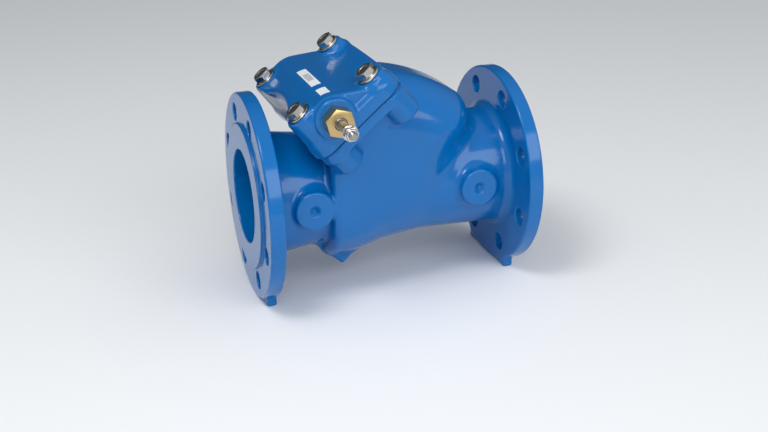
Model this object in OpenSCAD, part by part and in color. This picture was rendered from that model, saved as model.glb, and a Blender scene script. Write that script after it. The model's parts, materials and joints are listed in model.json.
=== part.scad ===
// Flanged swing check valve with a resilient disc and a free shaft end.
// The origin is the centre of the inlet's raised face, +X follows the flow and +Z is up.
// The bonnet face is tilted; everything on it is placed in the bonnet's own frame, where
// X runs up along the face, Y is across the valve and Z stands off the face.

/* [Waterway] */
// Nominal bore
bore_d = 100; // [95:1:102]
// Face to face length
length = 300; // [296:1:310]

/* [Flanges] */
// Outside diameter
flange_d = 220; // [216:1:224]
// Bolt circle diameter
pitch_d = 180; // [178:1:182]
// Bolt hole diameter
hole_d = 19; // [17:0.5:19]
// Number of bolt holes
hole_count = 8; // [4:4:8]
// Thickness with the raised face
flange_t = 19; // [18:0.5:20]
// Raised face diameter
raised_d = 156; // [150:1:158]
// Raised face height
raised_t = 3; // [2:0.5:3]
// Width of the flat foot
foot_w = 96; // [90:1:102]
// Thickness of the flat foot
foot_t = 11; // [8:0.5:13]

/* [Body] */
// Outside radius of the inlet neck beside the chamber
neck_r = 58.5; // [58:0.5:60]
// Outside radius of the necks at the flanges
neck_flange_r = 66; // [65:0.5:68]
// Outside radius of the chamber
chamber_r = 75; // [74:0.5:77]
// Where the chamber starts, from the inlet face
chamber_x = 79; // [78:0.5:80]
// Chamber wall thickness
wall = 8; // [7.5:0.5:8.5]
// Distance of the tapping bosses from their flange faces
boss_x = 59; // [57:0.5:60]
// Distance of the tapping boss faces from the waterway's axis
boss_y = 71.5; // [70:0.5:73]
// Radius of the tapping bosses
boss_r = 20.5; // [19:0.5:21]

/* [Bonnet] */
// Tilt of the bonnet face
tilt = 40; // [39:0.5:41]
// Distance of the bonnet face from the middle of the waterway
face_d = 99.1; // [98.7:0.2:99.5]
// Length up the face
bonnet_l = 108.5; // [107.5:0.5:109.5]
// Lower end of the bonnet on the face
bonnet_s = -27.5; // [-28:0.5:-27]
// Width across the valve
bonnet_w = 176; // [174:1:178]
// Height at the high bolts
high_h = 47; // [46.5:0.5:48]
// Height at the low bolts
low_h = 24.8; // [24:0.2:26]
// Thickness of the rim between the low bolts
rim_h = 13; // [12:0.5:14]
// Place of the high bolts up the face
high_s = -11.8; // [-12.2:0.2:-11.4]
// Spacing of the bolts up the face
bolt_spacing_s = 76; // [75.5:0.5:76.5]
// Spacing of the bolts across the valve
bolt_spacing_y = 142; // [141:0.5:143]
// Gasket thickness
gasket_t = 1.5; // [1:0.5:2]

/* [Fasteners] */
// Bonnet bolt diameter
bolt_d = 12; // [10:1:12]
// Width across flats of the bolt heads
bolt_af = 18; // [17:1:19]
// Washer outside diameter
washer_d = 24; // [22:1:25]

/* [Hinge] */
// Shaft diameter
shaft_d = 12; // [11.5:0.5:12]
// Place of the shaft up the face
shaft_s = 10.8; // [10.5:0.1:11.1]
// Height of the shaft off the face
shaft_h = 24.5; // [24.2:0.1:24.8]
// Radial running clearance
run = 0.06; // [0.03:0.01:0.08]
// Width across flats of the gland hexagon
gland_af = 27; // [26:0.5:28]
// Disc diameter over the rubber
disc_d = 120; // [116:1:122]
// Disc thickness over the rubber
disc_t = 16; // [14:1:16]

/* [Hidden] */
$fn = 48;
cut = 1;                                       // how far a cut runs past a face
mid_x = length / 2;
bonnet_e = bonnet_s + bonnet_l;                // upper end of the bonnet on the face
low_s = high_s + bolt_spacing_s;
bolt_y = bolt_spacing_y / 2;
bolt_r = bolt_d / 2;
bonnet_corner_r = bonnet_w / 2 - bolt_y;
shaft_r = shaft_d / 2;
// shaft axis in the valve's frame
shaft_x = mid_x + shaft_s * cos(tilt) - (face_d + shaft_h) * sin(tilt);
shaft_z = shaft_s * sin(tilt) + (face_d + shaft_h) * cos(tilt);
seat_x = chamber_x + wall + 3;                 // sealing edge of the seat
disc_back = seat_x + disc_t;
core_r = disc_d / 2 - 12;
core_t = 8;
stud_r = 8;
eye_x = disc_back + 0.9;                       // the arm's eye starts here
eye_t = 10;
stud_end = eye_x + eye_t + 12;
gland_face_y = bonnet_w / 2 + 4;               // where the gland's hexagon starts
hex_t = 15;
gland_end_y = gland_face_y + hex_t;
spigot_r = 12;
spigot_y = 62;                                 // inner end of the gland's spigot
inner_groove_y = [68, 75];                     // grooves of the shaft's O-rings
outer_groove_y = 84;                           // groove of the O-ring round the spigot
wiper_y = 103;                                 // groove of the wiper ring
cavity_y = 57;                                 // half-width inside the bonnet
bush_r = 10;
bush_end = 80;
flats_y = 118;                                 // where the shaft's flats start
thread_y = 134;                                // and where its thread starts
tail_r = 5;                                    // the shaft outside the gland
thread_r = 4;
shaft_tip_y = 148;
key_w = 5;
key_l = 28;
washer_t = 2.5;
hub_r = 12.5;
hub_w = 40;
arm_w = 24;
label_t = 0.4;
cavity_s = [-8.5, 70];                         // ends of the hollow up the face
slope_s = 16;                                  // where the bonnet's top starts to slope down
bend_s = 36;                                   // where the slope steepens
bend_h = 35.5;
slope_deg = atan2(high_h - bend_h, bend_s - slope_s);

// ---- shared shapes ----

// puts its children in the bonnet's frame
module on_face() {
    translate([mid_x - face_d * sin(tilt), 0, face_d * cos(tilt)]) rotate([0, -tilt, 0]) children();
}

// puts its children in the chamber's own tilted frame, whose origin is the middle of the waterway
module in_chamber() { translate([mid_x, 0, 0]) rotate([0, -45, 0]) children(); }

// turns a shape made along Z so that it runs along X
module along_x() { rotate([0, 90, 0]) children(); }

// turns a shape made along Z so that it runs along -Y
module along_minus_y() { rotate([90, 0, 0]) children(); }

// rounded slab in the bonnet's frame, from s0 to s1 and h0 to h1, half-width hw
module slab(s0, s1, hw, h0, h1, r) {
    translate([0, 0, h0]) linear_extrude(h1 - h0) rounded(s0, s1, hw, r);
}

// rounded rectangle built from plain shapes, so that its corners stay true arcs
module rounded(s0, s1, hw, r) {
    translate([s0 + r, -hw]) square([s1 - s0 - 2 * r, 2 * hw]);
    translate([s0, r - hw]) square([s1 - s0, 2 * (hw - r)]);
    for (s = [s0 + r, s1 - r], y = [r - hw, hw - r]) translate([s, y]) circle(r);
}

module ring(outer_r, inner_r, t) {
    difference() {
        cylinder(h = t, r = outer_r);
        translate([0, 0, -cut]) cylinder(h = t + 2 * cut, r = inner_r);
    }
}

module torus(mean_r, section_r) { rotate_extrude() translate([mean_r, 0]) circle(section_r, $fn = 24); }

module hexagon(af, t) { cylinder(h = t, r = af / 2 / cos(30), $fn = 6); }

module at_bolts(places) { for (s = places, y = [-bolt_y, bolt_y]) translate([s, y, 0]) children(); }

// lies along Y through the shaft's axis, starting at y and running towards -Y
module on_shaft(y) { translate([shaft_x, y, shaft_z]) along_minus_y() children(); }

// ---- body ----

// points of an arc round (r0, x0), from angle a0 to a1
function arc(r0, x0, r, a0, a1) =
    [for (i = [0:6]) let(a = a0 + (a1 - a0) * i / 6) [r0 + r * cos(a), x0 + r * sin(a)]];

// revolved flange and neck, from the raised face to depth end_x
module flanged_neck(end_x, end_r) {
    fr = 9;                                    // fillet behind the flange
    ch = 1.5;                                  // chamfer of the flange's rim
    rim_r = flange_d / 2;
    along_x() rotate_extrude($fn = 96) polygon(concat(
        [[0, 0], [raised_d / 2, 0], [raised_d / 2, raised_t], [rim_r - ch, raised_t], [rim_r, raised_t + ch],
         [rim_r, flange_t - ch], [rim_r - ch, flange_t]],
        arc(neck_flange_r + fr, flange_t + fr, fr, 270, 180),
        [[end_r, end_x], [0, end_x]]));
}

module flange_holes() {
    for (i = [0:hole_count - 1]) rotate([(i + 0.5) * 360 / hole_count, 0, 0])
        translate([-cut, 0, pitch_d / 2]) along_x() cylinder(h = flange_t + 12, r = hole_d / 2);
}

module foot() {
    translate([flange_t - foot_t, -foot_w / 2, -flange_d / 2])
        cube([foot_t, foot_w, flange_d / 2 - neck_r]);
}

module at_outlet() { translate([length, 0, 0]) mirror([1, 0, 0]) children(); }

module tapping_boss() {
    translate([boss_x, -boss_y, 0]) along_minus_y() mirror([0, 0, 1]) {
        cylinder(h = boss_y - 45, r = boss_r);
        translate([0, 0, 8]) cylinder(h = boss_y - 53, r1 = boss_r, r2 = boss_r + 5);
    }
}

module tapping_dimple() {
    translate([boss_x, -boss_y - cut, 0]) along_minus_y() mirror([0, 0, 1])
        cylinder(h = 3 + cut, r1 = 6.5, r2 = 3.5);
}

// U-shaped slab across the chamber, round below and straight above
module chamber_slab(x0, x1, r, hw, top) {
    translate([x0, 0, 0]) along_x() linear_extrude(x1 - x0) {
        intersection() {
            circle(r);
            translate([-r, -hw]) square([2 * r, 2 * hw]);
        }
        translate([-top, -hw]) square([top, 2 * hw]);
    }
}

module chamber_outside() {
    $fn = 32;
    hull() {
        chamber_slab(chamber_x, chamber_x + 33, chamber_r, chamber_r - 2, 50);
        on_face() slab(-22, bonnet_e - 2, chamber_r - 2, -14, -9, 18);
        in_chamber() slab(10, 101.5, chamber_r - 3, 63, 67, 42);
        in_chamber() slab(24, 119, chamber_r - 4, 31, 35.5, 44);
        in_chamber() slab(36, 126, chamber_r - 8, -3, 1.3, 46);
        in_chamber() slab(50, 127.5, 60, -18, -14, 44);
        in_chamber() slab(60, 127, 46, -32, -28, 36);
        in_chamber() slab(78, 126, 30, -46, -42, 24);
        translate([mid_x, 0, 0]) along_x() cylinder(h = 12, r = neck_r + 2);
    }
}

module chamber_inside() {
    $fn = 32;
    hull() {
        chamber_slab(chamber_x + wall, chamber_x + 33, chamber_r - wall - 2, chamber_r - wall - 3, 42);
        on_face() slab(-8.5, cavity_s[1], 58, -16, cut, 24);
        in_chamber() slab(10, 94.5, 60, 58.8, 62.8, 34);
        in_chamber() slab(24, 111.5, 62.5, 31, 35, 38);
        in_chamber() slab(30, 115.5, 63, 14, 18, 42);
        in_chamber() slab(40, 118.5, 60.5, -3, 1, 44);
        in_chamber() slab(50, 120, 52, -18, -14, 43);
        in_chamber() slab(62, 120, 38, -30, -26, 32);
        translate([mid_x, 0, 0]) along_x() cylinder(h = 12, r = bore_d / 2 + 1);
    }
}

// clamping lug under the chamber
module under_lug() {
    intersection() {
        in_chamber() translate([-97, -22, -27]) cube([60, 44, 60]);
        translate([mid_x - 90, -40, -100]) cube([70, 80, 100]);
    }
}

module body() {
    color("royalblue") difference() {
        union() {
            flanged_neck(chamber_x + 2, neck_r);
            at_outlet() flanged_neck(length - chamber_x - 60, neck_r + 1);
            foot();
            at_outlet() foot();
            tapping_boss();
            at_outlet() tapping_boss();
            chamber_outside();
            under_lug();
            on_face() slab(bonnet_s, bonnet_e, bonnet_w / 2, -11, 0, bonnet_corner_r);
            on_face() at_bolts([high_s + 3]) translate([0, 0, -32]) cylinder(h = 32, r = 16);
            on_face() at_bolts([low_s + 2]) translate([0, 0, -36]) cylinder(h = 36, r = 16);
        }
        translate([-cut, 0, 0]) along_x() cylinder(h = length + 2 * cut, r = bore_d / 2, $fn = 96);
        difference() {
            chamber_inside();
            translate([chamber_x, 0, 0]) along_x() cylinder(h = seat_x - chamber_x, r = bore_d / 2 + 8);
        }
        on_face() slab(bonnet_s - 2, bonnet_e + 8, bonnet_w / 2 + 2, 0, high_h, bonnet_corner_r);
        flange_holes();
        at_outlet() flange_holes();
        tapping_dimple();
        at_outlet() tapping_dimple();
        on_face() at_bolts([high_s, low_s]) translate([0, 0, -24]) cylinder(h = 24 + cut, r = bolt_r + 0.05);
    }
}

// ---- bonnet ----

// side view of the bonnet from s0 to s1, or of its hollow when moved down
module side_profile(s0, s1, down) {
    polygon([[s0, -cut], [s0, high_h - down], [slope_s, high_h - down], [bend_s, bend_h - down],
             [52, 22 - down], [62, rim_h + 1.5 - down], [s1, rim_h - down], [s1, -cut]]);
}

module side_extrude(hw) { translate([0, hw, 0]) along_minus_y() linear_extrude(2 * hw) children(); }

module bonnet() {
    scallop_r = 110;
    scallop_depth = 12;
    color("royalblue") on_face() difference() {
        union() {
            intersection() {
                slab(bonnet_s, bonnet_e, bonnet_w / 2, gasket_t, high_h, bonnet_corner_r);
                side_extrude(bonnet_w / 2) side_profile(bonnet_s, bonnet_e, 0);
            }
            at_bolts([low_s]) translate([0, 0, gasket_t]) cylinder(h = low_h - gasket_t, r = 15);
            intersection() {
                translate([shaft_s, -bonnet_w / 2 + cut, shaft_h]) along_minus_y()
                    cylinder(h = gland_face_y - bonnet_w / 2 + cut, r = 22);
                translate([bonnet_s, -bonnet_w, gasket_t]) cube([bonnet_l, bonnet_w, high_h]);
            }
        }
        intersection() {
            slab(cavity_s[0], cavity_s[1], cavity_y, gasket_t - cut, high_h, 10);
            side_extrude(cavity_y) side_profile(cavity_s[0] - cut, cavity_s[1] + cut, wall);
        }
        translate([bonnet_s + scallop_depth - scallop_r, 0, 14]) cylinder(h = high_h, r = scallop_r, $fn = 96);
        at_bolts([high_s, low_s]) cylinder(h = high_h + cut, r = bolt_r + 0.75);
        translate([shaft_s, -cavity_y + cut, shaft_h]) along_minus_y()
            cylinder(h = gland_face_y - cavity_y + 2 * cut, r = spigot_r + 0.05);
        translate([shaft_s, bush_end, shaft_h]) along_minus_y()
            cylinder(h = bush_end - cavity_y + cut, r = bush_r + 0.05);
    }
}

module bonnet_gasket() {
    color("dimgray") on_face() difference() {
        slab(bonnet_s + 1, bonnet_e - 1, bonnet_w / 2 - 1, 0, gasket_t, bonnet_corner_r - 1);
        slab(cavity_s[0], cavity_s[1], cavity_y, -cut, gasket_t + cut, 10);
        at_bolts([high_s, low_s]) translate([0, 0, -cut]) cylinder(h = gasket_t + 2 * cut, r = bolt_r + 0.75);
    }
}

module bonnet_bolt(seat_h) {
    color("silver") translate([0, 0, -20]) {
        cylinder(h = seat_h + 20 + washer_t, r = bolt_r);
        translate([0, 0, seat_h + 20 + washer_t]) rotate(15) hexagon(bolt_af, 7.5);
    }
}

module long_bonnet_bolts() { on_face() at_bolts([high_s]) bonnet_bolt(high_h); }

module short_bonnet_bolts() { on_face() at_bolts([low_s]) bonnet_bolt(low_h); }

module bonnet_washers() {
    color("silver") on_face() {
        at_bolts([high_s]) translate([0, 0, high_h]) ring(washer_d / 2, bolt_r + 0.4, washer_t);
        at_bolts([low_s]) translate([0, 0, low_h]) ring(washer_d / 2, bolt_r + 0.4, washer_t);
    }
}

// ---- gland and bearings ----

module gland_nut() {
    color("goldenrod") difference() {
        union() {
            on_shaft(-spigot_y) cylinder(h = gland_face_y - spigot_y, r = spigot_r);
            on_shaft(-gland_face_y) rotate(45) hexagon(gland_af, hex_t);
        }
        on_shaft(cut - spigot_y) cylinder(h = gland_end_y - spigot_y + 2 * cut, r = shaft_r + run);
        for (y = inner_groove_y) on_shaft(-y) cylinder(h = 2.6, r = 8.5);
        on_shaft(-wiper_y) cylinder(h = 2.7, r = 8);
        on_shaft(-outer_groove_y) ring(spigot_r + cut, 9.2, 3.2);
    }
}

module gland_outer_seal() { color("black") on_shaft(-outer_groove_y - 1.6) torus(10.62, 1.38); }

module shaft_seals() {
    color("black") for (y = inner_groove_y) on_shaft(-y - 1.3) torus(shaft_r + run + 1.2, 1.18);
}

module wiper_ring() { color("black") on_shaft(-wiper_y - 0.1) ring(7.95, shaft_r + run, 2.5); }

module blind_bush() {
    color("goldenrod") on_shaft(bush_end - 0.2) ring(bush_r, shaft_r + run, bush_end - cavity_y - 0.4);
}

// ---- shaft ----

module shaft() {
    color("silver") difference() {
        union() {
            on_shaft(bush_end - 1) cylinder(h = bush_end - 1 + gland_end_y, r = shaft_r);
            on_shaft(-gland_end_y) cylinder(h = thread_y - gland_end_y, r = tail_r);
            on_shaft(-thread_y) cylinder(h = shaft_tip_y - thread_y, r = thread_r);
        }
        on_shaft(-flats_y) for (side = [-1, 1])
            translate([side * 8.2 - 4, -10, 0]) cube([8, 20, thread_y - flats_y + cut]);
        on_shaft(key_l / 2) translate([3.2, -key_w / 2, 0]) cube([10, key_w, key_l]);
    }
}

module shaft_end_washer() { color("silver") on_shaft(-thread_y) ring(8, thread_r + 0.05, 1.8); }

module shaft_end_nut() {
    color("silver") on_shaft(-thread_y - 1.8) difference() {
        hexagon(13, 8.5);
        translate([0, 0, -cut]) cylinder(h = 12, r = thread_r + 0.05);
    }
}

module spacer_sleeves() {
    color("dimgray") for (y = [cavity_y - 0.3, -hub_w / 2 - 0.1])
        on_shaft(y) ring(10, shaft_r + 0.05, cavity_y - hub_w / 2 - 0.4);
}

// ---- hinge arm and disc ----

module hinge_arm() {
    bend_x = eye_x + eye_t;
    color("lightsteelblue") difference() {
        union() {
            on_shaft(hub_w / 2) cylinder(h = hub_w, r = hub_r);
            translate([0, arm_w / 2, 0]) along_minus_y() linear_extrude(arm_w) polygon([
                [shaft_x - 4, shaft_z - 10], [shaft_x + 10, shaft_z + 2], [bend_x, 60], [bend_x, 0],
                [eye_x, 0], [eye_x, 63], [eye_x - 6, 70]]);
            translate([eye_x, 0, 0]) along_x() cylinder(h = eye_t, r = 16);
        }
        on_shaft(hub_w / 2 + cut) cylinder(h = hub_w + 2 * cut, r = shaft_r + 0.02);
        translate([eye_x - cut, 0, 0]) along_x() cylinder(h = eye_t + 2 * cut, r = stud_r + run);
        on_shaft(key_l / 2) translate([0, -key_w / 2, 0]) cube([8.6, key_w, key_l]);
        on_shaft(0) rotate(135) along_x() cylinder(h = 20, r = 4);
    }
}

module arm_key() {
    color("gray") on_shaft(key_l / 2) translate([3.2, -key_w / 2, 0]) cube([5.3, key_w, key_l]);
}

module arm_set_screw() {
    color("gray") on_shaft(0) rotate(135) translate([shaft_r + 0.05, 0, 0]) along_x() cylinder(h = 5.4, r = 3.95);
}

module core_shape() {
    translate([seat_x + 4, 0, 0]) along_x() cylinder(h = core_t, r = core_r);
    translate([seat_x + 4, 0, 0]) along_x() cylinder(h = eye_x - 0.2 - seat_x - 4, r = 14);
}

module disc_core() {
    color("gray") difference() {
        union() {
            core_shape();
            translate([seat_x + 8, 0, 0]) along_x() cylinder(h = stud_end - seat_x - 8, r = stud_r);
        }
        translate([stud_end - 2.5, 20, 0]) along_minus_y() cylinder(h = 40, r = 1.6);
    }
}

module disc_rubber() {
    color("black") difference() {
        translate([seat_x + 0.02, 0, 0]) along_x() cylinder(h = disc_t - 0.02, r = disc_d / 2, $fn = 96);
        core_shape();
    }
}

module disc_washer() {
    color("silver") translate([eye_x + eye_t + 0.2, 0, 0]) along_x() ring(14, stud_r + 0.05, 2);
}

module disc_nut() {
    color("silver") translate([eye_x + eye_t + 2.2, 0, 0]) along_x() difference() {
        hexagon(24, 5);
        translate([0, 0, -cut]) cylinder(h = 8, r = stud_r + 0.05);
    }
}

module disc_locking_pin() {
    color("silver") translate([stud_end - 2.5, 11, 0]) along_minus_y() cylinder(h = 22, r = 1.5);
}

// ---- labels ----

// sticker on the sloping top, centred at y, with its long side across the valve
module label(y, l, w) {
    color("white") on_face() translate([slope_s, y, high_h]) rotate([0, slope_deg, 0])
        translate([0.3, -l / 2, 0]) cube([w, l, label_t]);
}

module large_label() { label(-11, 58, 11); }

module small_label() { label(-63, 19, 11); }

body();
bonnet();
bonnet_gasket();
long_bonnet_bolts();
short_bonnet_bolts();
bonnet_washers();
gland_nut();
gland_outer_seal();
shaft_seals();
wiper_ring();
blind_bush();
shaft();
shaft_end_washer();
shaft_end_nut();
hinge_arm();
arm_key();
arm_set_screw();
spacer_sleeves();
disc_core();
disc_rubber();
disc_washer();
disc_nut();
disc_locking_pin();
large_label();
small_label();
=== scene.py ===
"""Looks of the flanged swing check valve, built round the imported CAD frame.

The two castings, the hinge arm and their fillets are modelled as signed distance fields in
millimetres and turned into meshes; the fasteners and turned parts are built ring by ring.
"""
import json
import math

import bmesh
import bpy
import numpy as np
from mathutils import Matrix, Vector

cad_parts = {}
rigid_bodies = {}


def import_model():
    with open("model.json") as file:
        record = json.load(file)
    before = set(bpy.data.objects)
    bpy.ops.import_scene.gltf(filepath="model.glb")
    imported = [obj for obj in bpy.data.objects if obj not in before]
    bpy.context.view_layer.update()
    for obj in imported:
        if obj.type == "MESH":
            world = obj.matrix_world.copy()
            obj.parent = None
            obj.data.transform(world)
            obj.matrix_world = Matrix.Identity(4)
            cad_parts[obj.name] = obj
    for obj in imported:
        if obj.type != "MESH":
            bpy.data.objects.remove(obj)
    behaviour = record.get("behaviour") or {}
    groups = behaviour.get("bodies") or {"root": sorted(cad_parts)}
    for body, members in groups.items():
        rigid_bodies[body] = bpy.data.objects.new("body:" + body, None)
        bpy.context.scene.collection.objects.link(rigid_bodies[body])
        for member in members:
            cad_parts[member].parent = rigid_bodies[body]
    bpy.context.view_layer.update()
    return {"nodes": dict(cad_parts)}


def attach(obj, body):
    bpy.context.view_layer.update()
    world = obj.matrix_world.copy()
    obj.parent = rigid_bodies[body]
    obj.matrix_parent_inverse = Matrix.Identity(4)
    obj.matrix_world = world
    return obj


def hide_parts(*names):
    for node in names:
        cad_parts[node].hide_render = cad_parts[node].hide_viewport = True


for leftover in list(bpy.data.objects):
    bpy.data.objects.remove(leftover)
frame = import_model()
nodes = frame["nodes"]

# ---- sizes, in millimetres ----
MID = 150.0  # half the length from face to face
FLANGE_R, RAISED_R, BORE_R = 110.0, 78.0, 50.0
HOLE_CIRCLE_R, HOLE_R, HOLES = 90.0, 9.5, 8
FOOT_Z, FOOT_HALF_Y = -110.0, 48.0
TAPPING_X, TAPPING_Y, TAPPING_R = 59.0, 71.5, 20.5  # boss on the near side of each neck
CHAMBER_X = 79.0  # the chamber's upstream end
WALL = 6.0
# the bonnet's face: its tilt and its distance from the valve's middle; S runs up along it, H off it
TILT = math.radians(40)
FACE_D = 99.1
HIGH_S, HIGH_H = -11.8, 47.0  # bolt seats on the high step
LOW_S, LOW_H = 64.2, 24.8  # bolt seats on the rim
BOLT_Y = 71.0
SHAFT_S, SHAFT_H = 10.8, 24.5
SHAFT_X = MID + SHAFT_S * math.cos(TILT) - (FACE_D + SHAFT_H) * math.sin(TILT)
SHAFT_Z = SHAFT_S * math.sin(TILT) + (FACE_D + SHAFT_H) * math.cos(TILT)
SHAFT_R, TAIL_R, FLAT_HALF = 6.0, 5.0, 4.2
SPIGOT_R = 12.0
GLAND_Y = 92.0  # the bonnet's pad, on which the gland's hexagon stands
ARM_X = 111.9  # middle of the arm's thickness where it hangs upright
WASHER_T = 2.5  # washers under the bonnet's bolts
# widths across flats
BOLT_FLATS, GLAND_FLATS, LOCK_NUT_FLATS, DISC_NUT_FLATS = 18, 27, 13, 24
VOXEL = 1.35

# the bonnet's frame: X up along its face, Y across the valve, Z off the face
FACE = Matrix.Translation((MID - FACE_D * math.sin(TILT), 0, FACE_D * math.cos(TILT))) @ \
    Matrix.Rotation(-TILT, 4, "Y")
# turned parts are made along Z; this lays them on the hinge axis, pointing at -Y
ON_SHAFT = Matrix.Translation((SHAFT_X, 0, SHAFT_Z)) @ Matrix.Rotation(math.radians(90), 4, "X")
ALONG_X = Matrix.Rotation(math.radians(90), 4, "Y")


# ---- distance field tools: negative inside, distances in millimetres ----

def both(a, b, r):
    """Where both shapes are, with the edge between them rounded to radius r."""
    return np.minimum(np.maximum(a, b), -r) + np.hypot(np.maximum(a + r, 0), np.maximum(b + r, 0))


def either(a, b, r):
    """Either shape, with a fillet of radius r between them."""
    return np.maximum(np.minimum(a, b), r) - np.hypot(np.maximum(r - a, 0), np.maximum(r - b, 0))


def melt(a, b, k):
    """Either shape, flowing into each other over a width of about k."""
    h = np.maximum(k - np.abs(a - b), 0) / k
    return np.minimum(a, b) - h * h * k / 4


def ease(t):
    """Smooth rise from 0 to 1."""
    t = np.clip(t, 0, 1)
    return t * t * (3 - 2 * t)


def ramp(t, width):
    """t where it is positive, 0 where it is negative, with a soft start."""
    return width * np.logaddexp(0, t / width)


def plate(u, v, half_u, half_v, r):
    """Rectangle with corners of radius r."""
    a = np.abs(u) - half_u + r
    b = np.abs(v) - half_v + r
    return np.hypot(np.maximum(a, 0), np.maximum(b, 0)) + np.minimum(np.maximum(a, b), 0) - r


def line(u, v, u0, v0, u1, v1):
    """Half-plane to the left of the line from point 0 to point 1."""
    du, dv = u1 - u0, v1 - v0
    return ((u - u0) * dv - (v - v0) * du) / math.hypot(du, dv)


def to_face(x, z):
    """Place along and off the bonnet face of a point of the valve's frame."""
    a, c, n = x - MID, math.cos(TILT), math.sin(TILT)
    return a * c + z * n, z * c - a * n - FACE_D


def to_chamber(x, z):
    """Place along and across the chamber's own slant of 45 degrees, from the valve's middle."""
    a = x - MID
    return (a + z) / math.sqrt(2), (z - a) / math.sqrt(2)


# ---- the body ----

def chamber_shape(x, y, z):
    """Outside of the swollen chamber."""
    a = x - MID
    s, h = to_face(x, z)
    width = 75 - 0.3 * ramp(a + 38, 7) * ease((50 - z) / 90)
    wall = np.where(z > 0, np.abs(y), np.hypot(y, z)) - width
    wall = both(wall, np.abs(y) - 73, 10)
    wall = both(wall, CHAMBER_X - x, 9)
    low_edge = line(a, z, 85, -68, 55, 4)
    high_edge = line(a, z, 55, 4, 112, 80)
    dome = np.hypot(a + 16.9, z + 46.1) - 172.5
    back = both(either(low_edge, high_edge, 30), dome, 34)
    roundness = 18 + 40 * np.maximum(ease((-h - 8) / 24), ease((s - 45) / 30))
    shape = both(wall, back, roundness)
    return both(shape, h + 6, 2)


def base_plate(s, y):
    """Outline of the rim; its upper end bulges a little."""
    bulge = 2.5 * np.clip(1 - (y / 88) ** 2, 0, 1) * ease((s - 30) / 40)
    return plate(s - bulge - 25.5, y, 53, 88, 17)


def body_shape(x, y, z):
    """The whole body; near is the distance from the closer one of the two raised faces."""
    near = MID - np.abs(x - MID)
    outlet = x > MID
    rho = np.hypot(y, z)
    across = np.abs(y)
    s, h = to_face(x, z)
    # flanges and necks
    neck_r = np.where(x > MID - 30, 60 + (x - 158) * 0.0385, 66 - (near - 28) * 0.1415)
    neck = np.maximum(rho - neck_r, 4 - near)
    flange = both(rho - FLANGE_R, np.abs(near - 11) - 8, 2.4)
    shape = either(flange, neck, 9.5)
    shape = either(shape, both(rho - RAISED_R, np.abs(near - 5) - 5, 0.7), 0.8)
    foot = both(both(np.abs(near - 13.5) - 5.5, across - FOOT_HALF_Y, 2.5), FOOT_Z - z, 2.5)
    shape = either(shape, np.maximum(foot, z + 50), 2.5)
    # bosses for pressure tappings
    off = np.hypot(near - TAPPING_X, z)
    sunk = y + TAPPING_Y
    boss = both((off - TAPPING_R - np.clip(sunk, 0, 40) * 0.1) * 0.99, -sunk, 2.2)
    shape = either(shape, np.maximum(boss, 40 + y), np.where(outlet, 6.5, 5.0))
    # chamber
    chamber = chamber_shape(x, y, z)
    softness = 6 + 10 * ease((x - MID + 40) / 60)
    shape = melt(shape, chamber, softness)
    # rim under the bonnet and its bolt bosses
    rim = both(base_plate(s, y), np.abs(h + 5.5) - 5.5, 1.2)
    shape = either(shape, rim, 5)
    for lug_s, depth in ((HIGH_S + 3, 31), (LOW_S + 2, 35)):
        lug = both(np.hypot(s - lug_s, across - BOLT_Y) - 16, -depth - h, 4)
        shape = either(shape, np.maximum(lug, h + 4), 5)
    # clamping lug underneath
    u, v = to_chamber(x, z)
    lug = both(both(np.abs(u + 67) - 30, np.abs(v - 3) - 30, 4), across - 22, 4)
    shape = either(shape, lug, 8)
    # bolt holes of the flanges, dimples of the bosses, tapped holes of the rim
    sector = 2 * math.pi / HOLES
    turn = np.mod(np.arctan2(y, z), sector) - sector / 2
    hole = np.hypot(rho * np.cos(turn) - HOLE_CIRCLE_R, rho * np.sin(turn)) - HOLE_R
    shape = both(shape, -np.maximum(hole, near - 30), 1.0)
    dimple = np.maximum((off - 6.5 + sunk * 1.1) * 0.67, -y - 76)
    shape = both(shape, -np.maximum(dimple, y + 67), 0.8)
    for bolt_s in (HIGH_S, LOW_S):
        hole = np.hypot(s - bolt_s, across - BOLT_Y) - 6.2
        shape = np.maximum(shape, -np.maximum(hole, -24 - h))
    # waterway
    seat = np.maximum(rho - 58, x - 90)
    room = np.maximum(chamber + WALL, -seat)
    mouth = np.maximum(plate(s - 31.25, y, 39.75, 57, 10), -30 - h)
    inside = np.minimum(melt(rho - BORE_R, room, np.where(outlet, 8, 0.5)), mouth)
    return both(shape, -inside, 1.0)


# ---- the bonnet, in its own frame ----

def bonnet_top(s, h, lower):
    """Upper side of the bonnet: high step, slope and thin rim, moved down by lower."""
    h = h + lower
    slope = line(s, h, 64, 15, 16, 49)
    return melt(-melt(HIGH_H - h, -slope, 6), h - 13.5, 6)


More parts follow.
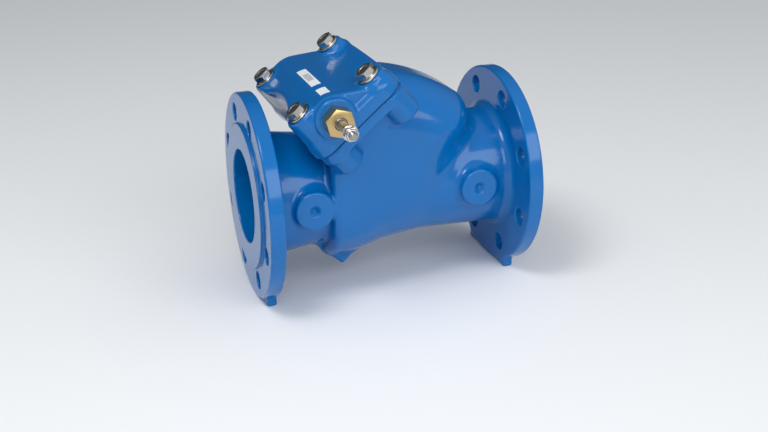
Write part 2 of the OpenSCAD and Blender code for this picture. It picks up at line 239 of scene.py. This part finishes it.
def bonnet_shape(s, y, h):
    """The cover: a slanting block on a rim, four bolt pillars and the gland's pad."""
    across = np.abs(y)
    crown = 1.2 * np.clip(1 - (y / 66) ** 2, 0, 1) * ease((s + 20) / 20) * ease((56 - s) / 30)
    block = plate(s - 26, y, 53, 86.5, 16) + 0.045 * h
    block = both(block, bonnet_top(s, h - crown, 0), 2.6)
    block = both(block, 110 - np.hypot(s + 125.5, y), 8)
    shape = either(block, both(base_plate(s, y), np.abs(h - 7.5) - 6, 2.0), 9)
    for bolt_s, top, spread in ((HIGH_S, HIGH_H, 0.05), (LOW_S, LOW_H, 0.2)):
        side = np.hypot(s - bolt_s, across - BOLT_Y) - 14.2 - (top - np.maximum(h, 12)) * spread
        shape = either(shape, both(side, h - top, 1.6), 6)
        # flat seat under the washer
        seat = np.hypot(s - bolt_s, across - BOLT_Y) - 13
        shape = both(shape, -np.maximum(seat, top - h), 0.8)
    bearing = np.hypot(s - SHAFT_S, h - SHAFT_H)
    pad = both(bearing - 21.5, -GLAND_Y - y, 2.5)
    shape = either(shape, np.maximum(pad, y + 70), 3.5)
    shape = both(shape, 1.5 - h, 0.8)
    hollow = both(plate(s - 30.75, y, 39.25, 57, 10), bonnet_top(s, h, 8), 4)
    shape = both(shape, -hollow, 1.0)
    for bolt_s in (HIGH_S, LOW_S):
        shape = np.maximum(shape, 6.75 - np.hypot(s - bolt_s, across - BOLT_Y))
    # bores for the gland's spigot and the blind bush
    shape = np.maximum(shape, -np.maximum(bearing - SPIGOT_R - 0.05, y + 50))
    return np.maximum(shape, -np.maximum(np.maximum(bearing - 10.05, 50 - y), y - 80))


# ---- the hinge arm ----

def arm_shape(x, y, z):
    """Hub on the shaft, an upright web bent over to it, and the eye that holds the disc."""
    across = np.abs(y)
    axis = np.hypot(x - SHAFT_X, z - SHAFT_Z)
    hub = both(axis - 12.4, across - 20, 1.5)
    eye = both(np.hypot(y, z) - 15.8, np.abs(x - ARM_X) - 5, 1.2)
    flat = both(both(ARM_X - 5 - x, x - ARM_X - 5, 1.0), both(z - 74, -z, 1.0), 1.0)
    bend = line(x, z, ARM_X + 5, 59, SHAFT_X + 9, SHAFT_Z + 3)
    bend = both(bend, line(x, z, SHAFT_X - 6, SHAFT_Z - 9, 107.5, 66.5), 1.5)
    bend = both(bend, both(56 - z, SHAFT_X - 6 - x, 1.0), 1.0)
    web = both(either(np.maximum(flat, z - 66), bend, 4), across - 12, 2)
    shape = either(either(hub, web, 3), eye, 5)
    # bore, eye hole, set screw's hole and keyway
    shape = np.maximum(shape, SHAFT_R + 0.02 - axis)
    shape = np.maximum(shape, 8.06 - np.hypot(y, z))
    u, v = to_chamber(x, z)
    u0, v0 = to_chamber(SHAFT_X, SHAFT_Z)
    screw = np.maximum(np.hypot(u - u0, y) - 4, v0 - v)
    shape = np.maximum(shape, -screw)
    key = np.maximum(np.maximum(across - 14, np.abs(z - SHAFT_Z) - 2.5), np.abs(x - SHAFT_X - 4.3) - 4.3)
    return np.maximum(shape, -key)


# ---- meshes from distance fields ----

def sample(shape, low, counts, step):
    """The field on a regular grid, worked out slab by slab."""
    axes = [(low[i] + step * np.arange(counts[i])).astype(np.float32) for i in range(3)]
    out = np.empty(counts, np.float32)
    for i in range(0, counts[0], 16):
        x, y, z = np.meshgrid(axes[0][i:i + 16], axes[1], axes[2], indexing="ij")
        out[i:i + 16] = shape(x, y, z)
    return out


def surface_net(shape, low, high, step):
    """Vertices and quads of the field's zero surface."""
    low = np.array(low, float)
    counts = [int(math.ceil((high[i] - low[i]) / step)) + 1 for i in range(3)]
    field = sample(shape, low, counts, step)
    inside = field < 0
    total = np.zeros([c - 1 for c in counts], np.int8)
    corners = [(i, j, k) for i in (0, 1) for j in (0, 1) for k in (0, 1)]
    for i, j, k in corners:
        total += inside[i:counts[0] - 1 + i, j:counts[1] - 1 + j, k:counts[2] - 1 + k]
    active = (total > 0) & (total < 8)
    number = np.full(active.shape, -1, np.int64)
    cells = np.argwhere(active)
    number[active] = np.arange(len(cells))
    place = np.zeros((len(cells), 3))
    hits = np.zeros(len(cells))
    for axis in range(3):
        others = [i for i in range(3) if i != axis]
        for i, j in ((0, 0), (0, 1), (1, 0), (1, 1)):
            # the cell's four edges along this axis
            start = cells.copy()
            start[:, others[0]] += i
            start[:, others[1]] += j
            end = start.copy()
            end[:, axis] += 1
            a = field[start[:, 0], start[:, 1], start[:, 2]]
            b = field[end[:, 0], end[:, 1], end[:, 2]]
            crossed = (a < 0) != (b < 0)
            share = np.where(crossed, a / np.where(crossed, a - b, 1), 0)
            spot = start.astype(float)
            spot[:, axis] += share
            place[crossed] += spot[crossed]
            hits += crossed
    place = low + place / hits[:, None] * step
    quads = []
    for axis in range(3):
        u, v = [i for i in range(3) if i != axis]
        first = [slice(None)] * 3
        second = [slice(None)] * 3
        first[axis] = slice(0, -1)
        second[axis] = slice(1, None)
        changed = inside[tuple(first)] != inside[tuple(second)]
        edges = np.argwhere(changed)
        ok = (edges[:, u] > 0) & (edges[:, v] > 0) & \
            (edges[:, u] < counts[u] - 1) & (edges[:, v] < counts[v] - 1)
        edges = edges[ok]
        ring = []
        for du, dv in ((0, 0), (-1, 0), (-1, -1), (0, -1)):
            cell = edges.copy()
            cell[:, u] += du
            cell[:, v] += dv
            ring.append(number[cell[:, 0], cell[:, 1], cell[:, 2]])
        quad = np.stack(ring, 1)
        flip = inside[edges[:, 0], edges[:, 1], edges[:, 2]]
        if axis == 1:
            flip = ~flip
        quad[~flip] = quad[~flip][:, ::-1]
        quads.append(quad)
    return place, np.concatenate(quads)


def gradient(shape, p):
    """The field's slope at points, by central differences."""
    e = 0.02
    out = np.empty_like(p)
    for i in range(3):
        a, b = p.copy(), p.copy()
        a[:, i] += e
        b[:, i] -= e
        out[:, i] = (shape(*a.T) - shape(*b.T)) / (2 * e)
    return out


def settle(shape, p, rounds):
    """Moves points onto the zero surface."""
    for _ in range(rounds):
        g = gradient(shape, p)
        steepness = np.maximum((g * g).sum(1), 0.2)
        shift = (shape(*p.T) / steepness)[:, None] * g
        size = np.linalg.norm(shift, axis=1, keepdims=True)
        p = p - shift * np.minimum(1, 1.0 / np.maximum(size, 1e-9))
    return p


def new_object(name, mesh, matrix, body, material):
    """Puts a mesh given in millimetres in place and lets it ride on its CAD body."""
    mesh.transform(Matrix.Scale(0.001, 4) @ matrix)
    thing = bpy.data.objects.new(name, mesh)
    bpy.context.scene.collection.objects.link(thing)
    mesh.materials.append(material)
    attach(thing, body)
    return thing


def cast(name, shape, low, high, step, keep, matrix, body, material):
    """A casting from its distance field, thinned out where it is flat and with true normals."""
    place, quads = surface_net(shape, low, high, step)
    mesh = bpy.data.meshes.new(name)
    mesh.from_pydata(settle(shape, place, 3), [], quads.tolist())
    rough = bpy.data.objects.new(name + "_rough", mesh)
    bpy.context.scene.collection.objects.link(rough)
    thin = rough.modifiers.new("thin", "DECIMATE")
    thin.ratio = keep
    bpy.context.view_layer.update()
    mesh = bpy.data.meshes.new_from_object(rough.evaluated_get(bpy.context.evaluated_depsgraph_get()))
    bpy.data.objects.remove(rough)
    flat = np.empty(len(mesh.vertices) * 3, np.float32)
    mesh.vertices.foreach_get("co", flat)
    p = settle(shape, flat.reshape(-1, 3).astype(float), 2)
    mesh.vertices.foreach_set("co", p.astype(np.float32).ravel())
    mesh.update()
    normals = gradient(shape, p)
    normals /= np.maximum(np.linalg.norm(normals, axis=1, keepdims=True), 1e-9)
    turned = np.array(matrix.to_3x3().normalized())
    thing = new_object(name, mesh, matrix, body, material)
    mesh.polygons.foreach_set("use_smooth", [True] * len(mesh.polygons))
    mesh.normals_split_custom_set_from_vertices((normals @ turned.T).tolist())
    return thing


# ---- turned and hexagonal parts, ring by ring ----

SIDES = 96
ANGLES = np.arange(SIDES) * 2 * math.pi / SIDES
FACE_SHARE = 0.475  # radius of a hexagon's flat face, as a share of its width across flats


def round_ring(r, z):
    """Every ring is a pair of arrays: radius and height at each angle."""
    return np.full(SIDES, float(r)), np.full(SIDES, float(z))


def hex_radius(flats):
    """Radius of a hexagon round its middle; its corners are eased a little."""
    fold = np.mod(ANGLES, math.pi / 3) - math.pi / 6
    return np.minimum(flats / 2 / np.cos(fold), flats / 2 / math.cos(math.pi / 6) - flats * 0.006)


def face_ring(flats, z):
    """The circle where a hexagon's flat face at height z meets its chamfer."""
    return round_ring(flats * FACE_SHARE, z)


def hex_rings(flats, bottom, top):
    """Sides of a hexagon between two faces, both with a 30 degree chamfer."""
    r = hex_radius(flats)
    fall = (r - flats * FACE_SHARE) * math.tan(math.radians(30))
    return [(r, bottom + fall), (r, top - fall)]


def lathe(rings, closed=False):
    """Mesh data through the rings; closed joins the last ring to the first."""
    points, faces = [], []
    for r, z in rings:
        points += [(r[i] * math.cos(ANGLES[i]), r[i] * math.sin(ANGLES[i]), z[i]) for i in range(SIDES)]
    count = len(rings)
    for k in range(count if closed else count - 1):
        a, b = k * SIDES, (k + 1) % count * SIDES
        for i in range(SIDES):
            j = (i + 1) % SIDES
            faces.append((a + i, a + j, b + j, b + i))
    if not closed:
        faces.append(tuple(range(SIDES))[::-1])
        faces.append(tuple(range((count - 1) * SIDES, count * SIDES)))
    return points, faces


def arc_rings(r, z, radius, start, end, count=6):
    """Rings along an arc round (r, z) from angle start to angle end, in degrees."""
    out = []
    for t in np.linspace(math.radians(start), math.radians(end), count):
        out.append(round_ring(r + radius * math.cos(t), z + radius * math.sin(t)))
    return out


def join(parts):
    """One mesh from several (points, faces, matrix)."""
    points, faces = [], []
    for local, local_faces, matrix in parts:
        start = len(points)
        points += [tuple(matrix @ Vector(p)) for p in local]
        faces += [tuple(start + i for i in face) for face in local_faces]
    return points, faces


def made(name, parts, matrix, body, material, replaced, crisp=35):
    """A piece from ring-built parts, smooth but for its edges of more than crisp degrees."""
    mesh = bpy.data.meshes.new(name)
    points, faces = join(parts)
    mesh.from_pydata(points, [], faces)
    shell = bmesh.new()
    shell.from_mesh(mesh)
    bmesh.ops.recalc_face_normals(shell, faces=shell.faces)
    for face in shell.faces:
        face.smooth = True
    for edge in shell.edges:
        edge.smooth = len(edge.link_faces) == 2 and edge.calc_face_angle(0) < math.radians(crisp)
    shell.to_mesh(mesh)
    shell.free()
    thing = new_object(name, mesh, matrix, body, material)
    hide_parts(*replaced)
    return thing


# ---- materials ----

def material(name, color, metallic, roughness, coat=0.0, bump=0.0, scale=400.0, mottle=0.0, spread=0.0,
             shine=0.5):
    """Procedural surface: even colour with slight mottling, roughness wander and fine relief."""
    made_of = bpy.data.materials.new(name)
    made_of.use_nodes = True
    tree = made_of.node_tree
    surface = tree.nodes["Principled BSDF"]
    surface.inputs["Base Color"].default_value = (*color, 1)
    surface.inputs["Metallic"].default_value = metallic
    surface.inputs["Roughness"].default_value = roughness
    surface.inputs["Coat Weight"].default_value = coat
    surface.inputs["Coat Roughness"].default_value = 0.04
    surface.inputs["Specular IOR Level"].default_value = shine
    where = tree.nodes.new("ShaderNodeTexCoord")
    grain = tree.nodes.new("ShaderNodeTexNoise")
    grain.inputs["Scale"].default_value = scale
    grain.inputs["Detail"].default_value = 3
    tree.links.new(where.outputs["Object"], grain.inputs["Vector"])
    if bump:
        relief = tree.nodes.new("ShaderNodeBump")
        relief.inputs["Strength"].default_value = bump
        relief.inputs["Distance"].default_value = 0.001
        tree.links.new(grain.outputs["Fac"], relief.inputs["Height"])
        tree.links.new(relief.outputs["Normal"], surface.inputs["Normal"])
        if coat:
            tree.links.new(relief.outputs["Normal"], surface.inputs["Coat Normal"])
    if mottle:
        patch = tree.nodes.new("ShaderNodeTexNoise")
        patch.inputs["Scale"].default_value = 14
        tree.links.new(where.outputs["Object"], patch.inputs["Vector"])
        shade = tree.nodes.new("ShaderNodeMix")
        shade.data_type = "RGBA"
        dark = [c * (1 - mottle) for c in color]
        light = [min(1, c * (1 + mottle)) for c in color]
        shade.inputs[6].default_value = (*dark, 1)
        shade.inputs[7].default_value = (*light, 1)
        tree.links.new(patch.outputs["Fac"], shade.inputs[0])
        tree.links.new(shade.outputs[2], surface.inputs["Base Color"])
    if spread:
        wander = tree.nodes.new("ShaderNodeMapRange")
        wander.inputs["To Min"].default_value = max(0.02, roughness - spread)
        wander.inputs["To Max"].default_value = roughness + spread
        tree.links.new(grain.outputs["Fac"], wander.inputs["Value"])
        tree.links.new(wander.outputs["Result"], surface.inputs["Roughness"])
    return made_of


EPOXY = material("blue_epoxy", (0.0, 0.126, 0.40), 0, 0.16, coat=0.25, bump=0.04, scale=110, mottle=0.05,
                 shine=0.3)
STEEL = material("stainless", (0.60, 0.575, 0.53), 1, 0.24, bump=0.05, scale=900, spread=0.08)
DARK_STEEL = material("shaft_steel", (0.33, 0.33, 0.34), 1, 0.28, bump=0.04, scale=1200, spread=0.08)
CAST_STEEL = material("cast_steel", (0.45, 0.44, 0.41), 1, 0.42, bump=0.2, scale=350, mottle=0.08)
BRASS = material("brass", (0.56, 0.41, 0.19), 1, 0.34, bump=0.08, scale=700, mottle=0.12, spread=0.08)
RUBBER = material("rubber", (0.017, 0.017, 0.018), 0, 0.5, bump=0.1, scale=500)
GASKET = material("gasket", (0.012, 0.012, 0.014), 0, 0.7, bump=0.1, scale=600)
IRON = material("bare_iron", (0.11, 0.115, 0.12), 0.7, 0.45, bump=0.2, scale=350, mottle=0.1)
ACETAL = material("acetal", (0.6, 0.57, 0.5), 0, 0.4, bump=0.03)
FILM = material("label_film", (0.82, 0.84, 0.87), 0, 0.3)
INK = material("label_ink", (0.05, 0.05, 0.055), 0, 0.4)


# ---- pieces ----

def build_castings():
    """Body, bonnet and arm."""
    body = cast("body_casting", body_shape, (-3, -113, -113), (303, 113, 138), VOXEL, 0.42,
                Matrix.Identity(4), "valve", EPOXY)
    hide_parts("body")
    bonnet = cast("bonnet_casting", bonnet_shape, (-31, -95, -1), (88, 92, 52), VOXEL * 0.75, 0.6,
                  FACE, "valve", EPOXY)
    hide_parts("bonnet")
    arm = cast("arm_casting", arm_shape, (66, -22, -18), (120, 22, 118), VOXEL * 0.75, 0.6,
               Matrix.Identity(4), "flap", CAST_STEEL)
    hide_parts("hinge_arm")


def bolt(seat, turn, s, y):
    """Hexagon bolt standing on its washer, with a round face under the head."""
    foot = seat + WASHER_T
    rings = [round_ring(5.2, -20), round_ring(6, -19), round_ring(6, foot)]
    rings += [round_ring(8.4, foot), round_ring(8.4, foot + 0.7)]
    rings += hex_rings(BOLT_FLATS, foot + 0.7, foot + 7.5) + [face_ring(BOLT_FLATS, foot + 7.5)]
    rings += [round_ring(5.6, foot + 7.45), round_ring(5.1, foot + 7.1), round_ring(0.6, foot + 7.1)]
    spin = Matrix.Rotation(math.radians(turn), 4, "Z")
    return (*lathe(rings), Matrix.Translation((s, y, 0)) @ spin)


def build_bonnet_hardware():
    """The bonnet's bolts, each head turned a little differently, and their washers."""
    made("long_bolts", [bolt(HIGH_H, 15, HIGH_S, -BOLT_Y), bolt(HIGH_H, 21, HIGH_S, BOLT_Y)],
         FACE, "valve", STEEL, ["long_bonnet_bolts"], crisp=20)
    made("short_bolts", [bolt(LOW_H, 11, LOW_S, -BOLT_Y), bolt(LOW_H, 17, LOW_S, BOLT_Y)],
         FACE, "valve", STEEL, ["short_bonnet_bolts"], crisp=20)
    rings = [round_ring(6.4, 0), round_ring(11.6, 0), round_ring(12, 0.4), round_ring(12, 1.9)]
    rings += arc_rings(11.4, 1.9, 0.6, 0, 90, 4) + [round_ring(6.8, WASHER_T), round_ring(6.4, 2.2)]
    washer = lathe(rings, closed=True)
    places = [(s, y, h) for s, h in ((HIGH_S, HIGH_H), (LOW_S, LOW_H)) for y in (-BOLT_Y, BOLT_Y)]
    made("washers", [(*washer, Matrix.Translation(p)) for p in places], FACE, "valve", STEEL,
         ["bonnet_washers"])


def build_gland():
    """Brass gland: spigot with its groove and a hexagon chamfered on both sides."""
    bore_r, top = SHAFT_R + 0.06, GLAND_Y + 15
    rings = [round_ring(bore_r, 62.5), round_ring(6.6, 62), round_ring(11.5, 62)]
    # groove of the outer seal
    rings += [round_ring(SPIGOT_R, 62.5), round_ring(SPIGOT_R, 84), round_ring(9.2, 84)]
    rings += [round_ring(9.2, 87.2), round_ring(SPIGOT_R, 87.2)]
    rings += [round_ring(SPIGOT_R, GLAND_Y), round_ring(12.6, GLAND_Y)]
    rings += hex_rings(GLAND_FLATS, GLAND_Y, top) + [face_ring(GLAND_FLATS, top)]
    rings += [round_ring(6.8, top), round_ring(bore_r, top - 0.7)]
    parts = [(*lathe(rings, closed=True), Matrix.Rotation(math.radians(45), 4, "Z"))]
    made("gland", parts, ON_SHAFT, "valve", BRASS, ["gland_nut"])


def flatted(z):
    """Ring of the shaft where it has its two flats."""
    r = np.minimum(TAIL_R, FLAT_HALF / np.maximum(np.abs(np.cos(ANGLES)), 1e-6))
    return r, np.full(SIDES, float(z))


def thread_rings(start, end, r, pitch, depth):
    """Rings of a screw thread between two heights."""
    steps = int((end - start) / pitch * 8)
    out = []
    for k in range(steps + 1):
        z = np.full(SIDES, start + (end - start) * k / steps)
        wave = np.abs(np.mod(z / pitch + ANGLES / (2 * math.pi), 1) * 2 - 1)
        out.append((r - depth * wave, z))
    return out


def build_shaft():
    """Hinge shaft with its turned-down, flatted and threaded end, and the washer and nut on it."""
    rings = [round_ring(5.3, -79), round_ring(SHAFT_R, -78.3), round_ring(SHAFT_R, 106.5)]
    rings += [round_ring(5.5, 107), round_ring(TAIL_R, 107), round_ring(TAIL_R, 117.9)]
    rings += [flatted(118), flatted(133.5), round_ring(3.9, 134), round_ring(3.9, 135.8)]
    rings += thread_rings(135.8, 147, 4, 1.25, 0.6)
    rings += [round_ring(3.2, 147.4), round_ring(2.7, 148), round_ring(0.5, 148)]
    made("hinge_shaft", [(*lathe(rings), Matrix.Identity(4))], ON_SHAFT, "flap", DARK_STEEL,
         ["shaft"], crisp=30)
    rings = [round_ring(4.2, 134), round_ring(7.6, 134), round_ring(8, 134.4), round_ring(8, 135.4)]
    rings += [round_ring(7.6, 135.8), round_ring(4.2, 135.8)]
    made("end_washer", [(*lathe(rings, closed=True), Matrix.Identity(4))], ON_SHAFT, "flap", STEEL,
         ["shaft_end_washer"])
    # lock nut: hexagon with a rounded collar round the thread
    rings = [round_ring(4.1, 136.1), round_ring(4.5, 135.8), face_ring(LOCK_NUT_FLATS, 135.8)]
    rings += hex_rings(LOCK_NUT_FLATS, 135.8, 141.6)
    rings += [face_ring(LOCK_NUT_FLATS, 141.6), round_ring(6.1, 141.7)]
    rings += arc_rings(4.9, 143.1, 1.2, 0, 90, 7) + [round_ring(4.6, 144.3), round_ring(4.4, 144.0)]
    rings += [round_ring(4.3, 143.2), round_ring(4.1, 143.2)]
    made("end_lock_nut", [(*lathe(rings, closed=True), Matrix.Rotation(math.radians(9), 4, "Z"))], ON_SHAFT,
         "flap", STEEL, ["shaft_end_nut"], crisp=20)


def build_disc():
    """The disc's rubber cover and the lock nut on its stud."""
    rings = [round_ring(48, 94.02), round_ring(48, 102), round_ring(14, 102), round_ring(14, 106)]
    rings += [round_ring(17, 106), round_ring(20, 104.9), round_ring(50, 104.9), round_ring(53, 106)]
    rings += arc_rings(57, 103, 3, 90, 0) + arc_rings(57.6, 92.42, 2.4, 0, -90)
    rings += [round_ring(49, 90.02), round_ring(46, 90.8), round_ring(0.5, 90.8)]
    made("disc_seal", [(*lathe(rings), Matrix.Identity(4))], ALONG_X,
         "disc", RUBBER, ["disc_rubber"])
    bottom, top = 119.1, 124.1
    rings = hex_rings(DISC_NUT_FLATS, bottom, top) + [face_ring(DISC_NUT_FLATS, top)]
    rings += [round_ring(8.8, top), round_ring(8.1, 123.5), round_ring(8.1, 119.6)]
    rings += [round_ring(8.6, bottom), face_ring(DISC_NUT_FLATS, bottom)]
    made("disc_lock_nut", [(*lathe(rings, closed=True), Matrix.Identity(4))], ALONG_X, "disc", STEEL,
         ["disc_nut"])


def build_label(name, node, middle, long_side, inked=None):
    """Film sticker following the bonnet's slope, with plain stripes where inked says so."""
    cell = 0.7
    columns, rows = round(long_side / cell), 11
    y, s = np.meshgrid(np.linspace(middle - long_side / 2, middle + long_side / 2, columns + 1),
                       np.linspace(16.3, 25.8, rows + 1), indexing="ij")
    # sink the grid onto the bonnet
    h = np.full(y.shape, 46.0)
    for _ in range(15):
        h -= bonnet_shape(s, y, h)
    points = []
    for lift in (0.3, -0.1):
        points += list(zip(s.ravel().tolist(), y.ravel().tolist(), (h + lift).ravel().tolist()))
    span, layer = rows + 1, (columns + 1) * (rows + 1)
    faces = []
    for base in (0, layer):
        for i in range(columns):
            for j in range(rows):
                a = base + i * span + j
                faces.append((a, a + span, a + span + 1, a + 1))
    rim = [i * span for i in range(columns)] + [columns * span + j for j in range(rows)]
    rim += [i * span + rows for i in range(columns, 0, -1)] + list(range(rows, 0, -1))
    for a, b in zip(rim, rim[1:] + rim[:1]):
        faces.append((a, b, b + layer, a + layer))
    thing = made(name, [(points, faces, Matrix.Identity(4))], FACE, "valve", FILM, [node])
    thing.data.materials.append(INK)
    for i in range(columns):
        for j in range(rows):
            if inked and inked(i, j):
                thing.data.polygons[i * rows + j].material_index = 1


def build_labels():
    """One sticker with stripes that stand for a bar code, one plain."""
    def bars(i, j):
        return 24 <= i < 60 and 2 <= j < 9 and (7 * i * i + 3 * i) % 5 < 2

    build_label("wide_sticker", "large_label", -11, 58, bars)
    build_label("small_sticker", "small_label", -63, 19)


def finish_cad_nodes():
    """The small plain parts are shown as they are, each with its own surface."""
    surfaces = {
        GASKET: ["bonnet_gasket", "gland_outer_seal", "shaft_seals", "wiper_ring"],
        BRASS: ["blind_bush"],
        ACETAL: ["spacer_sleeves"],
        STEEL: ["disc_washer", "disc_locking_pin", "arm_set_screw"],
        DARK_STEEL: ["arm_key"],
        IRON: ["disc_core"],
    }
    for surface, names in surfaces.items():
        for name in names:
            mesh = nodes[name].data
            mesh.materials.clear()
            mesh.materials.append(surface)


# ---- studio ----

def build_studio():
    """Pale floor, plain room and two soft boxes, in metres."""
    floor_mesh = bpy.data.meshes.new("floor")
    size, level = 8.0, FOOT_Z / 1000 - 0.0002
    corners = [(x * size, y * size, level) for x, y in ((-1, -1), (1, -1), (1, 1), (-1, 1))]
    floor_mesh.from_pydata(corners, [], [(0, 1, 2, 3)])
    floor = bpy.data.objects.new("floor", floor_mesh)
    bpy.context.scene.collection.objects.link(floor)
    floor_mesh.materials.append(material("pale_floor", (0.93, 0.935, 0.94), 0, 0.6))

    # light room in front of the valve, dim behind it
    world = bpy.data.worlds.new("studio")
    bpy.context.scene.world = world
    world.use_nodes = True
    tree = world.node_tree
    room = tree.nodes["Background"]
    room.inputs["Color"].default_value = (0.92, 0.96, 1.0, 1)
    where = tree.nodes.new("ShaderNodeTexCoord")
    parts = tree.nodes.new("ShaderNodeSeparateXYZ")
    fade = tree.nodes.new("ShaderNodeMapRange")
    for name, value in (("From Min", 0.1), ("From Max", 0.8), ("To Min", 0.62), ("To Max", 0.06)):
        fade.inputs[name].default_value = value
    tree.links.new(where.outputs["Generated"], parts.inputs["Vector"])
    tree.links.new(parts.outputs["Y"], fade.inputs["Value"])
    tree.links.new(fade.outputs["Result"], room.inputs["Strength"])

    def soft_box(name, place, target, width, height, power):
        lamp = bpy.data.lights.new(name, "AREA")
        lamp.shape = "RECTANGLE"
        lamp.size, lamp.size_y = width, height
        lamp.energy = power
        thing = bpy.data.objects.new(name, lamp)
        bpy.context.scene.collection.objects.link(thing)
        aim = Vector(target) - Vector(place)
        thing.matrix_world = Matrix.Translation(place) @ aim.to_track_quat("-Z", "Y").to_matrix().to_4x4()

    soft_box("key", (-0.6, -0.5, 1.5), (0.15, 0, 0), 0.6, 0.6, 11)
    soft_box("front", (0.5, -2.0, 1.15), (0.15, 0, 0.05), 2.4, 1.2, 25)


def build_camera():
    """Camera at the photograph's angle: place, heading, dip and roll."""
    camera = bpy.data.cameras.new("camera")
    camera.sensor_width = 36
    camera.lens = 51.29
    camera.shift_y = -0.0599
    thing = bpy.data.objects.new("camera", camera)
    bpy.context.scene.collection.objects.link(thing)
    heading, dip, roll = math.radians(71.352), math.radians(-20.275), math.radians(-1.144)
    forward = Vector((math.cos(dip) * math.cos(heading), math.cos(dip) * math.sin(heading), math.sin(dip)))
    level = forward.cross(Vector((0, 0, 1))).normalized()
    upward = level.cross(forward)
    right = level * math.cos(roll) + upward * math.sin(roll)
    up = right.cross(forward)
    turn = Matrix((right, up, -forward)).transposed().to_4x4()
    thing.matrix_world = Matrix.Translation((-0.20302, -1.06719, 0.4236)) @ turn
    bpy.context.scene.camera = thing


build_castings()
build_bonnet_hardware()
build_gland()
build_shaft()
build_disc()
build_labels()
finish_cad_nodes()
build_studio()
build_camera()
bpy.context.scene.view_settings.view_transform = "Standard"
